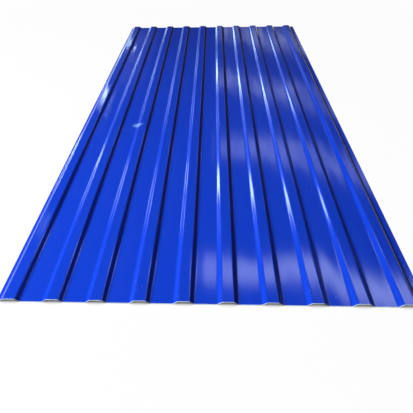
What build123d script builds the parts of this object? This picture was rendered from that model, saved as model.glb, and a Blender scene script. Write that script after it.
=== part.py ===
from build123d import *
import os

# Corrugated roofing sheet, roll-formed in one piece from colour-coated steel strip. Ten low
# trapezoidal ribs run the whole length, with wide flat pans between them. At a side lap the last
# rib, with the wider lip beside it, goes under the first rib of the next sheet.
# Millimetres. X is across the ribs, Y along them and Z up. The origin is the centre of the
# sheet on the level of the pans' undersides, so that the sheet lies on Z = 0.

# Driving dimensions
sheet_length = 2440.0  # cut length along the ribs, 8 ft
rib_count = 10
rib_pitch = 110.0  # from one rib's centre to the next
crest_width = 29.0  # flat top of a rib, between the corners of its bends
web_run = 11.5  # how far a sloping web runs sideways
rib_height = 8.5  # rise from a pan to a crest
first_lip = 6.5  # flat strip outside the first rib, the one that laps over
last_lip = 18.0  # flat strip outside the last rib, the one that lies under
steel_thickness = 0.45
bend_radius = 5.0  # inside radius of every bend

cover_width = (rib_count - 1) * rib_pitch
overall_width = first_lip + crest_width + 2 * web_run + cover_width + last_lip
first_rib = -overall_width / 2 + first_lip + web_run + crest_width / 2


def rib_corners(centre):
    """The four corners of one rib on the underside of the sheet, from left to right."""
    crest_half = crest_width / 2
    foot_half = crest_half + web_run
    return [
        (centre - foot_half, 0),
        (centre - crest_half, rib_height),
        (centre + crest_half, rib_height),
        (centre + foot_half, 0),
    ]


# The underside is the outside of a bend at a rib's foot and the inside of one at its crest,
# so the steel is as thick round a bend as it is on the flat.
foot_radius = bend_radius + steel_thickness
rib_radii = [foot_radius, bend_radius, bend_radius, foot_radius]

corners = [(-overall_width / 2, 0)]
radii = []
for rib in range(rib_count):
    corners += rib_corners(first_rib + rib * rib_pitch)
    radii += rib_radii
corners.append((overall_width / 2, 0))

with BuildPart() as corrugated_sheet:
    with BuildSketch(Plane.XZ) as section:
        with BuildLine() as underside:
            FilletPolyline(*corners, radius=radii)
            offset(amount=steel_thickness, side=Side.LEFT)
        make_face()
    extrude(amount=sheet_length / 2, both=True)

corrugated_sheet.part.label = "corrugated_sheet"

os.makedirs("parts", exist_ok=True)
export_step(corrugated_sheet.part, "parts/corrugated_sheet.step")
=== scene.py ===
import math

import bmesh
import bpy
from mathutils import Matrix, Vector


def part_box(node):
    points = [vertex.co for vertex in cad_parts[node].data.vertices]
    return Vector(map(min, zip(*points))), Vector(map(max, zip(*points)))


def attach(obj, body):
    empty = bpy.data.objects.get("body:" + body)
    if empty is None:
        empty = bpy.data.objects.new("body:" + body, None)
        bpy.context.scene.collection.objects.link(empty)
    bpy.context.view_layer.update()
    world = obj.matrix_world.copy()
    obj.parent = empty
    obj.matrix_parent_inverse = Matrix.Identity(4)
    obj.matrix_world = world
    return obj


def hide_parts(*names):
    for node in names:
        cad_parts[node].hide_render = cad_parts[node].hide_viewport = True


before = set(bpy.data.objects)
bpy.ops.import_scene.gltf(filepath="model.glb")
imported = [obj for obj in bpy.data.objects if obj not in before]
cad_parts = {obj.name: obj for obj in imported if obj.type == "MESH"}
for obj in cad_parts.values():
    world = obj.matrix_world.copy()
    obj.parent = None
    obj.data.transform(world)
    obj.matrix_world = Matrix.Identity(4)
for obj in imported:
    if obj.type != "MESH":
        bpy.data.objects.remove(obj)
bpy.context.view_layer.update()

# The sheet: one strip of 0.45 mm galvanised steel, coil-coated and then roll-formed into ten low
# trapezoidal ribs. It leaves the rollers with rounded bends and is sheared to length, and its thin
# pans never come out quite flat.
low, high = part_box("corrugated_sheet")
sheet_length = high[1] - low[1]
steel_thickness = 0.00045
rib_count = 10
rib_pitch = 0.110
rib_height = 0.0085
crest_width = 0.029
web_run = 0.0115
first_lip = 0.0065
bend_radius = 0.0070
same_place = 0.00001  # points nearer than this count as one

# The weather side's corners lie further from a rib's middle than the underside's do, and an eased
# web reaches a little further at both its ends than a flat one.
web_angle = math.atan2(rib_height, web_run)
corner_shift = steel_thickness * math.tan(web_angle / 2)
web_ease = 0.0003
crest_half = crest_width / 2 + corner_shift - web_ease
foot_half = crest_half + web_run + 2 * web_ease
web_middle = (crest_half + foot_half) / 2
first_rib = low[0] + first_lip + web_run + crest_width / 2
pan_level = steel_thickness
crest_level = pan_level + rib_height


def pick(piece, kind, test):
    """In edit mode, selects the faces, edges or points that pass a test, and nothing else."""
    bpy.ops.mesh.select_mode(type={"faces": "FACE", "edges": "EDGE", "verts": "VERT"}[kind])
    bpy.ops.mesh.select_all(action="DESELECT")
    mesh = bmesh.from_edit_mesh(piece.data)
    for item in getattr(mesh, kind):
        if test(item):
            item.select_set(True)
    mesh.select_flush_mode()
    bmesh.update_edit_mesh(piece.data)


def cut_along(x, **options):
    """In edit mode, cuts the whole mesh along a line that runs with the ribs."""
    bpy.ops.mesh.select_all(action="SELECT")
    bpy.ops.mesh.bisect(plane_co=(x, 0, 0), **options)


def runs_along(edge):
    """Whether an edge runs along the ribs."""
    step = edge.verts[1].co - edge.verts[0].co
    return abs(step.y) > 10 * max(abs(step.x), abs(step.z))


def at_level(point, level):
    """Whether a point is on the level of the pans or of the crests."""
    return abs(point.z - level) < rib_height / 1000


bpy.ops.object.select_all(action="DESELECT")
bpy.ops.mesh.primitive_plane_add(size=rib_pitch, location=(first_rib, 0, pan_level))
sheet = bpy.context.active_object
sheet.name = "ribbed_sheet"
bpy.ops.object.mode_set(mode="EDIT")
bpy.ops.mesh.select_all(action="SELECT")
bpy.ops.transform.resize(
    value=(1, sheet_length / rib_pitch, 1), center_override=(first_rib, 0, pan_level)
)
bpy.ops.object.mode_set(mode="OBJECT")
bpy.ops.object.transform_apply(location=True, rotation=True, scale=True)

bpy.ops.object.mode_set(mode="EDIT")
for corner in (-foot_half, -crest_half, crest_half, foot_half):
    cut_along(first_rib + corner, plane_no=(1, 0, 0))
pick(sheet, "faces", lambda face: abs(face.calc_center_median().x - first_rib) < crest_half)
bpy.ops.transform.translate(value=(0, 0, rib_height))

# A web is steepest at its middle and eases off towards its bends. Each row of points is given by
# its distance outwards from the middle, and by how far it is lifted off the flat web.
web_rows = [
    (first_rib + side * (web_middle + step), lift)
    for side in (-1, 1)
    for step, lift in (
        (-0.0042, 0.00020),
        (-0.0030, 0.00022),
        (-0.0015, 0.00013),
        (0, 0),
        (0.0015, -0.00013),
        (0.0030, -0.00022),
        (0.0042, -0.00020),
    )
]
for row, lift in web_rows:
    cut_along(row, plane_no=(1, 0, 0))
for row, lift in web_rows:
    pick(sheet, "verts", lambda vert: abs(vert.co.x - row) < same_place)
    bpy.ops.transform.translate(value=(0, 0, lift))
bpy.ops.object.mode_set(mode="OBJECT")

bpy.ops.object.modifier_add(type="ARRAY")
ribs = sheet.modifiers[-1]
ribs.count = rib_count
ribs.use_relative_offset = False
ribs.use_constant_offset = True
ribs.constant_offset_displace = (rib_pitch, 0, 0)
ribs.use_merge_vertices = True
ribs.merge_threshold = same_place
bpy.ops.object.modifier_apply(modifier=ribs.name)

bpy.ops.object.mode_set(mode="EDIT")
for side, outward in ((low[0], -1), (high[0], 1)):
    cut_along(side, plane_no=(outward, 0, 0), clear_outer=True)

# A bend is rounded on the weather side by its inside radius at a rib's foot and by its outside
# radius at the crest, so that the steel keeps its thickness round it.
bend_angle = math.radians(30.7)  # between a flat and the eased end of a web
bend_steps = 4
for level, radius in ((crest_level, bend_radius + steel_thickness), (pan_level, bend_radius)):
    pick(
        sheet,
        "edges",
        lambda edge: runs_along(edge)
        and len(edge.link_faces) == 2
        and at_level(edge.verts[0].co, level)
        and edge.calc_face_angle() > bend_angle / 2,
    )
    bpy.ops.mesh.bevel(
        offset_type="OFFSET",
        offset=radius * math.tan(bend_angle / 2),
        segments=bend_steps,
        profile=0.5,
        affect="EDGES",
    )

# The flats are divided across, apart from the lips and the bends, and everything is along.
length_strips = 80
for level, narrowest, strips in ((pan_level, 0.02, 8), (crest_level, 0.01, 4)):
    pick(
        sheet,
        "edges",
        lambda edge: not runs_along(edge)
        and at_level((edge.verts[0].co + edge.verts[1].co) / 2, level)
        and edge.calc_length() > narrowest,
    )
    bpy.ops.mesh.subdivide(number_cuts=strips - 1)
pick(sheet, "edges", runs_along)
bpy.ops.mesh.subdivide(number_cuts=length_strips - 1)


def from_rib(x):
    """How far a place lies from the nearest rib's middle."""
    rib = min(max(round((x - first_rib) / rib_pitch), 0), rib_count - 1)
    return abs(x - first_rib - rib * rib_pitch)


# Oil-canning: each pan stands a fraction of a millimetre proud along its middle, and each crest
# dips a little, more in one place than in the next. A flat is free to buckle at its middle and is
# held at its bends, and the lips at the sheet's sides stay flat.
pan_edge = foot_half + bend_radius / 2
pan_half = (rib_pitch - 2 * pan_edge) / 2
crest_edge = crest_half - bend_radius / 2
side_margin = 0.03
slack_steps = 8
for group, level, slack, height, wave in (
    ("pan_slack", pan_level, lambda x: (from_rib(x) - pan_edge) / pan_half, 0.0003, 0.16),
    ("crest_slack", crest_level, lambda x: 1 - from_rib(x) / crest_edge, -0.00015, 0.22),
):
    bpy.ops.object.mode_set(mode="EDIT")
    bpy.ops.object.vertex_group_add()
    sheet.vertex_groups[-1].name = group
    for step in range(1, slack_steps + 1):
        pick(
            sheet,
            "verts",
            lambda vert: at_level(vert.co, level)
            and low[0] + side_margin < vert.co.x < high[0] - side_margin
            and round(slack_steps * min(max(slack(vert.co.x), 0), 1)) == step,
        )
        share = math.sin(step / slack_steps * math.pi / 2) ** 2
        bpy.context.scene.tool_settings.vertex_group_weight = share
        bpy.ops.object.vertex_group_assign()
    bpy.ops.object.mode_set(mode="OBJECT")

    swell = bpy.data.textures.new(group, type="CLOUDS")
    swell.noise_scale = wave
    swell.noise_depth = 1
    bpy.ops.object.modifier_add(type="DISPLACE")
    buckle = sheet.modifiers[-1]
    buckle.texture = swell
    buckle.texture_coords = "LOCAL"
    buckle.direction = "Z"
    buckle.vertex_group = group
    buckle.mid_level = 0
    buckle.strength = height
    bpy.ops.object.modifier_apply(modifier=buckle.name)

bpy.ops.object.modifier_add(type="SOLIDIFY")
steel = sheet.modifiers[-1]
steel.thickness = steel_thickness
steel.offset = -1
steel.use_even_offset = True
steel.use_quality_normals = True
steel.material_offset = 1
steel.material_offset_rim = 2


class Socket:
    """An output of a shader node: sums and products on it add Math nodes to its material."""

    def __init__(self, tree, output):
        self.tree = tree
        self.output = output

    def node(self, kind, settings=None, inputs=None, output=0):
        """Adds a node of any kind, its settings first, then its sockets' values or links."""
        made = self.tree.nodes.new(kind)
        for name, value in (settings or {}).items():
            setattr(made, name, value)
        for name, value in (inputs or {}).items():
            if isinstance(value, Socket):
                self.tree.links.new(value.output, made.inputs[name])
            else:
                made.inputs[name].default_value = value
        return Socket(self.tree, made.outputs[output])

    def maths(self, operation, *values):
        """A Math node on this output and the values given."""
        return self.node(
            "ShaderNodeMath", {"operation": operation}, dict(enumerate((self, *values)))
        )

    def __add__(self, other):
        return self.maths("ADD", other)

    __radd__ = __add__

    def __mul__(self, other):
        return self.maths("MULTIPLY", other)

    __rmul__ = __mul__

    def __sub__(self, other):
        return self.maths("SUBTRACT", other)

    def __rsub__(self, other):
        return (self * -1) + other

    def __truediv__(self, other):
        return self.maths("DIVIDE", other)

    def __abs__(self):
        return self.maths("ABSOLUTE")

    def fade(self, start, end):
        """0 where this is at start, 1 at end, and smooth between."""
        return self.node(
            "ShaderNodeMapRange",
            {"interpolation_type": "SMOOTHSTEP"},
            {"Value": self, "From Min": start, "From Max": end},
        )

    def band(self, start, end, soft):
        """1 between two values and 0 beyond them, with soft sides."""
        return self.fade(start - soft, start + soft) * self.fade(end + soft, end - soft)

    def parts(self):
        """The three numbers of these coordinates."""
        split = self.node("ShaderNodeSeparateXYZ", None, {"Vector": self}).output.node
        return [Socket(self.tree, split.outputs[name]) for name in "XYZ"]

    def noise(self, scale, detail=2.0, roughness=0.5):
        """Noise over these coordinates."""
        return self.node(
            "ShaderNodeTexNoise",
            None,
            {"Vector": self, "Scale": scale, "Detail": detail, "Roughness": roughness},
        )

    def placed(self, location=(0, 0, 0), scale=(1, 1, 1), turn=0.0):
        """These coordinates moved, turned about Z and then scaled."""
        return self.node(
            "ShaderNodeMapping",
            {"vector_type": "TEXTURE"},
            {
                "Vector": self,
                "Location": location,
                "Rotation": (0, 0, turn),
                "Scale": tuple(1 / s for s in scale),
            },
        )

    def between(self, first, second):
        """The first colour where this is 0, the second where it is 1, and mixed between."""
        first, second = (
            colour if isinstance(colour, Socket) else (*colour, 1) for colour in (first, second)
        )
        return self.node(
            "ShaderNodeMix", {"data_type": "RGBA"}, {0: self, 6: first, 7: second}, output=2
        )

    def tint(self, share, colour):
        """This colour, mixed towards another by a share."""
        return share.between(self, colour)

    def bump(self, strength, depth, **under):
        """The surface's normal with this as its relief, over another normal where one is given."""
        relief = {"Height": self, "Strength": strength, "Distance": depth}
        return self.node("ShaderNodeBump", None, {**relief, **under})

    def rays(self, first, *others):
        """1 for the kinds of rays that are named."""
        path = self.tree.nodes.new("ShaderNodeLightPath")
        found = Socket(self.tree, path.outputs[first])
        for other in others:
            found = found.maths("MAXIMUM", Socket(self.tree, path.outputs[other]))
        return found


def finish_of(name):
    """A new material: the material, its Principled shader and its Object coordinates."""
    material = bpy.data.materials.new(name)
    material.use_nodes = True
    tree = material.node_tree
    shader = tree.nodes["Principled BSDF"]
    place = tree.nodes.new("ShaderNodeTexCoord").outputs["Object"]
    return material, shader, Socket(tree, place)


def feed(shader, **values):
    """Links or sets the sockets of a Principled shader by name."""
    for name, value in values.items():
        socket = shader.inputs[name.replace("_", " ")]
        if isinstance(value, Socket):
            value.tree.links.new(value.output, socket)
        else:
            socket.default_value = value


# The weather side: a gloss polyester top coat in strong blue, rolled on before the ribs are formed.
# It has a fine roller stipple, a thin film of dust and a few specks, and it has let go of the
# steel in a hair-thin line along the sheared ends; that line is painted pale, a painted highlight
# of the light that the sheared burr catches.
coat, shader, place = finish_of("blue_top_coat")
blue = (0.006, 0.051, 0.62)
deep_blue = (0.005, 0.044, 0.57)
dust_grey = (0.30, 0.34, 0.46)
speck_white = (0.70, 0.74, 0.80)
cloud = place.placed(scale=(5.0, 1.6, 1.0)).noise(1.0, detail=4.0, roughness=0.55)
streaks = place.placed(scale=(260.0, 3.0, 1.0)).noise(1.0, detail=3.0, roughness=0.6)
dust = cloud.fade(0.42, 0.75) * streaks.fade(0.3, 0.8) * 0.02
specks = place.noise(420.0, detail=0.0).fade(0.80, 0.84) * place.noise(9.0).fade(0.5, 0.7)
colour = cloud.between(deep_blue, blue).tint(dust, dust_grey).tint(specks * 0.55, speck_white)

# One pale scuff, about 40 mm across, where something was dragged over the third rib; its pale
# blue is partly scratched paint and partly a painted highlight of the scratches.
scuff_centre = (-0.305, -0.240, 0)
scuff_turn = math.radians(-30)
scuff_highlight_blue = (0.26, 0.47, 0.98)
scuff_place = place.placed(location=scuff_centre, turn=scuff_turn)
scuff_across, scuff_along = (abs(part) for part in scuff_place.parts()[:2])
scratches = scuff_place.placed(scale=(60.0, 500.0, 1.0)).noise(1.0, detail=3.0, roughness=0.7)
scuff_and_highlight = scuff_across.fade(0.027, 0.010) * scuff_along.fade(0.021, 0.007)
scuff_and_highlight = scuff_and_highlight * scratches.fade(0.25, 0.60)
colour = colour.tint(scuff_and_highlight * 0.75, scuff_highlight_blue)

# The hairline along the ends, a millimetre wide and frayed by a millimetre: bare steel, painted
# pale as a painted highlight of the burr.
primer_glint_pale = (0.62, 0.74, 0.86)
half_length = sheet_length / 2
fray = place.noise(160.0, detail=3.0) * 0.0012
bare_and_glint_line = (abs(place.parts()[1]) + fray).fade(half_length - 0.0014, half_length - 0.0007)
colour = colour.tint(bare_and_glint_line, primer_glint_pale)

stipple = place.noise(900.0, detail=1.0).bump(strength=0.12, depth=0.00004)
ripple = place.placed(scale=(16.0, 5.0, 1.0)).noise(1.0, detail=1.0)
gloss = cloud * 0.03 + streaks * 0.03 + 0.045 + scuff_and_highlight * 0.3 + specks * 0.3 + bare_and_glint_line * 0.2
feed(
    shader,
    Base_Color=colour,
    Roughness=gloss,
    Metallic=bare_and_glint_line * 0.2,
    Normal=ripple.bump(strength=0.5, depth=0.0006, Normal=stipple),
    IOR=1.5,
)

# The underside: a thin, half-matt backing coat in light grey, rolled on the back of the same strip.
# It is a little streaky along the strip and darker in patches.
back, shader, place = finish_of("grey_backing_coat")
backing_grey = (0.40, 0.42, 0.43)
backing_pale = (0.47, 0.49, 0.50)
backing_dark = (0.33, 0.34, 0.34)
film = place.placed(scale=(180.0, 4.0, 1.0)).noise(1.0, detail=3.0)
patch = place.noise(6.0, detail=3.0)
feed(
    shader,
    Base_Color=film.between(backing_grey, backing_pale).tint(
        patch.fade(0.5, 0.8) * 0.15, backing_dark
    ),
    Roughness=patch * 0.15 + 0.42,
    Normal=film.bump(strength=0.15, depth=0.00005),
)

# The cut edges: the shear leaves the zinc-coated steel bare across its thickness, with fine lines
# where the blade went through.
cut, shader, place = finish_of("sheared_edge")
dull_zinc = (0.46, 0.50, 0.54)
bright_zinc = (0.72, 0.76, 0.80)
shear_lines = place.placed(scale=(1500.0, 1500.0, 120.0)).noise(1.0, detail=2.0)
feed(
    shader,
    Base_Color=shear_lines.between(dull_zinc, bright_zinc),
    Roughness=shear_lines * 0.2 + 0.35,
    Metallic=0.6,
    Normal=shear_lines.bump(strength=0.3, depth=0.00003),
)

for finish in (coat, back, cut):
    sheet.data.materials.append(finish)
bpy.ops.object.modifier_apply(modifier=steel.name)
sharp_angle = math.radians(40)
bpy.ops.object.shade_smooth_by_angle(angle=sharp_angle)
bpy.ops.object.modifier_add(type="WEIGHTED_NORMAL")
even = sheet.modifiers[-1]
even.mode = "FACE_AREA"
even.keep_sharp = True
bpy.ops.object.modifier_apply(modifier=even.name)
sheet.vertex_groups.clear()

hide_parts("corrugated_sheet")
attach(sheet, "root")

# The floor: a wide, pale, level sweep. It shows white to the camera and in the gloss. Close under
# and round the sheet that white is dimmed by ambient occlusion, a painted contact shadow, so that
# the sheet's shadow stays on it.
floor_width = 80
floor_drop = 0.0002
bpy.ops.mesh.primitive_plane_add(size=floor_width, location=(0, 0, -floor_drop))
floor = bpy.context.active_object
floor.name = "floor"
pale, shader, floor_place = finish_of("pale_floor")
feed(shader, Base_Color=(0.80, 0.80, 0.80, 1), Roughness=0.9, Specular_IOR_Level=0.1)
plain_white = (1.0, 1.0, 1.0, 1)
shadow_reach = 0.035
distance = floor_place.node(
    "ShaderNodeVectorMath", {"operation": "LENGTH"}, {0: floor_place}, "Value"
)
seen = floor_place.rays("Is Camera Ray", "Is Glossy Ray", "Is Transmission Ray")
# Ambient occlusion dims the floor's white glow close under and round the sheet: a painted contact
# shadow.
openness = floor_place.node(
    "ShaderNodeAmbientOcclusion", {"samples": 16}, {"Distance": shadow_reach}, "AO"
)
white_with_painted_shadow = floor_place.node(
    "ShaderNodeEmission", None, {"Color": plain_white, "Strength": openness.fade(0.0, 0.95)}
)
share = seen * (distance.fade(1.3, 4.0) * 0.05 + 0.95)
lit = Socket(share.tree, shader.outputs[0])
shown = share.node("ShaderNodeMixShader", None, {0: share, 1: lit, 2: white_with_painted_shadow})
surface = share.tree.nodes["Material Output"].inputs["Surface"]
share.tree.links.new(shown.output, surface)
floor.data.materials.append(pale)

# The room: white behind everything that the camera sees, and white low down behind the camera in
# the gloss too. Ahead it is dark, apart from what a hall shows in a gloss coat: three tall windows
# and three small skylights on the left, and pale clouds through the roof on the right.
room = bpy.data.worlds.new("room")
bpy.context.scene.world = room
room.use_nodes = True
tree = room.node_tree
tree.nodes.clear()
heading = Socket(tree, tree.nodes.new("ShaderNodeTexCoord").outputs["Generated"])
aside, ahead, upward = heading.parts()
overhead = upward.maths("MAXIMUM", 0.02)
roof_x = aside / overhead
roof_y = ahead / overhead
facing = ahead.fade(0.05, 0.15) * upward.fade(0.0, 0.03)
left_of_ahead = (aside * -1) / ahead.maths("MAXIMUM", 0.05)

# A window is given by its place to the left of straight ahead, its lean as it goes up, half its
# width, its sill's and its lintel's angles over the horizon in degrees, and its brightness. The
# wall round the windows glows a little.
windows = 0
for place_at, lean, half_width, sill, lintel, radiance in (
    (0.616, 0.04, 0.035, 6.9, 23.0, 10.0),
    (0.335, 0.16, 0.018, 4.9, 16.0, 6.5),
    (0.254, 0.08, 0.012, 3.7, 12.0, 5.0),
):
    upright = left_of_ahead - upward * lean
    foot, head = math.sin(math.radians(sill)), math.sin(math.radians(lintel))
    pane = (
        upright.band(place_at - half_width, place_at + half_width, 0.015)
        * upward.fade(foot - 0.006, foot + 0.006)
        * upward.fade(head + 0.02, head - 0.02)
    )
    windows += pane * radiance
windows += left_of_ahead.band(0.22, 0.80, 0.08) * upward.band(0.09, 0.30, 0.03) * 0.38

# A skylight is given by its place along a level roof of height 1, half its run along it, and its
# brightness. All three lie in one narrow row, which the first rib mirrors.
skylights = 0
for place_at, half_run, radiance in ((1.27, 0.05, 3.0), (2.40, 0.09, 28.0), (3.37, 0.07, 22.0)):
    opening = roof_y.band(place_at - half_run, place_at + half_run, 0.04)
    skylights += roof_x.band(-0.606, -0.588, 0.005) * opening * radiance

# A cloud lies across the same roof: where its middle is, from where it slants and how much, half
# its depth, its left and right end, how even it is, and its brightness. The last one is only a
# faint light on the far left.
sky = heading.node("ShaderNodeCombineXYZ", None, {"X": roof_x, "Y": roof_y, "Z": 0.0})
drift = sky.noise(2.6, detail=1.0)
billow = sky.placed(scale=(7.0, 5.0, 1.0)).noise(1.0, detail=2.0).fade(0.30, 0.68)
clouds = 0
for middle_at, bend_at, slope, half_depth, start, end, evenness, radiance in (
    (1.045, 0.20, -0.24, 0.055, -0.04, 0.75, 0.60, 5.2),
    (1.80, 0.26, -0.52, 0.095, 0.03, 0.75, 0.50, 1.85),
    (2.62, 0.06, -0.66, 0.12, 0.04, 0.75, 0.10, 1.5),
    (3.62, 0.06, -0.72, 0.20, 0.05, 0.75, 0.10, 1.3),
    (3.05, 0.0, 0.0, 0.50, -0.60, -0.44, 0.40, 0.24),
):
    spread = roof_y - (roof_x - bend_at).maths("MAXIMUM", 0.0) * slope + drift * 0.24 - 0.12
    softness = half_depth * 0.35 + 0.02
    stretch = spread.band(middle_at - half_depth, middle_at + half_depth, softness)
    reach = roof_x.fade(start - 0.03, start + 0.03) * roof_x.fade(end + 0.09, end - 0.09)
    thickness = billow * (1 - evenness) + evenness
    clouds += stretch * reach * thickness * radiance

behind = (-0.55, -0.83, 0.0)
lit_side = heading.node(
    "ShaderNodeVectorMath", {"operation": "DOT_PRODUCT"}, {0: heading, 1: behind}, "Value"
)
wall = lit_side.fade(-0.5, 0.6) * upward.fade(0.16, 0.03) * 0.9 + lit_side.fade(0.1, 0.9) * 0.5
dimness = 0.02  # the little light that the room gives by itself
window_white = (0.66, 0.90, 1.0, 1)
cloud_white = (0.68, 0.76, 1.0, 1)


def shine(strength, colour):
    """A background of one colour and a strength that may vary."""
    return heading.node("ShaderNodeBackground", None, {"Color": colour, "Strength": strength})


def both(first, second):
    """Two backgrounds added."""
    return first.node("ShaderNodeAddShader", None, {0: first, 1: second})


camera_ray = heading.rays("Is Camera Ray")
mirror_ray = heading.rays("Is Glossy Ray", "Is Transmission Ray")
plain = camera_ray + (1 - camera_ray) * (mirror_ray * (wall + dimness) + dimness)
hall = both(
    shine(mirror_ray * (windows + skylights) * facing, window_white),
    shine(mirror_ray * clouds * facing, cloud_white),
)
glow = both(shine(plain, plain_white), hall)
tree.links.new(glow.output, tree.nodes.new("ShaderNodeOutputWorld").inputs["Surface"])

# The lamp: one large softbox on the left, at the height of a high window. The gloss doesn't show
# it, because the room's windows stand there.
lamp = bpy.data.lights.new("softbox", "AREA")
lamp.shape = "SQUARE"
lamp.size = 2.0
lamp.energy = 345.0
softbox = bpy.data.objects.new("softbox", lamp)
bpy.context.scene.collection.objects.link(softbox)
softbox.location = (-3.45, -1.7, 2.35)
beam = Vector((0, -0.2, 0)) - softbox.location
softbox.rotation_euler = beam.to_track_quat("-Z", "Y").to_euler()
softbox.visible_camera = False
softbox.visible_glossy = False

# The camera: it stands close before the near end, a little under a metre over the sheet, and looks
# down along the ribs.
view = bpy.data.cameras.new("view")
view.sensor_width = 36.0
view.lens = 40.75
view.shift_x = 0.0344
eye = bpy.data.objects.new("view", view)
bpy.context.scene.collection.objects.link(eye)
eye.location = (0.0088, -2.0093, 0.8774)
eye.rotation_euler = [math.radians(angle) for angle in (53.851, 1.164, 2.184)]
bpy.context.scene.camera = eye
bpy.context.scene.view_settings.view_transform = "Standard"
